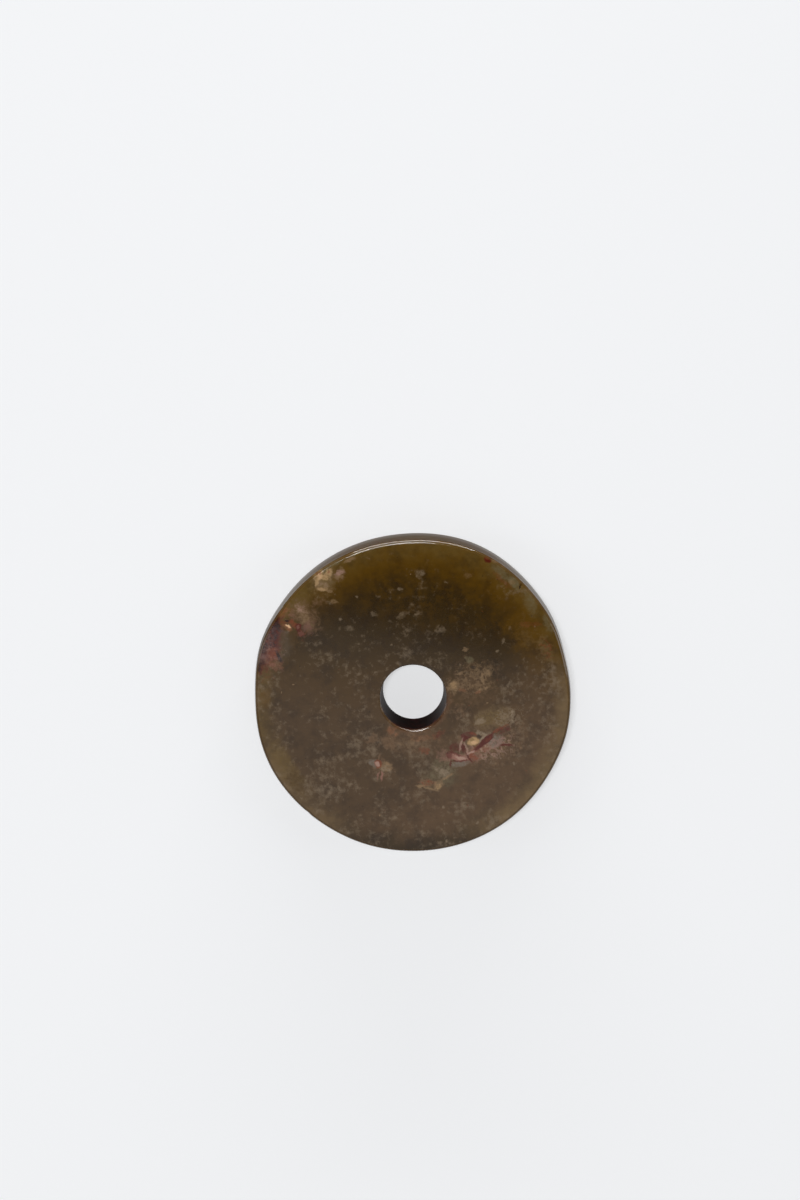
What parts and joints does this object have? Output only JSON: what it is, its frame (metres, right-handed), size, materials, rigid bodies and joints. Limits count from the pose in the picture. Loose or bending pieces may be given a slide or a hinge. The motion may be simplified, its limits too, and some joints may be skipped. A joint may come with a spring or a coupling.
{
  "type": "jade bi disc",
  "caption": "Thick flat polished stone disc, slightly out of round, with a tapered round hole drilled through its middle.",
  "frame": {"origin": "on the flat back, under the middle of the outline's bounding box, where the disc rests on a surface", "axes": "+Z out of the front face, which the hole was drilled from; +Y towards the edge that is uppermost when the disc is stood on its rim for display; +X to the right seen from the front face"},
  "size_m": [0.0992, 0.1, 0.014],
  "materials": {
    "jade": "hand-polished dark olive-brown nephrite with pale flecks, russet and red-brown patches and a yellow-green edge"
  },
  "bodies": {
    "root": {"jade_disc": "jade"}
  },
  "joints": []
}
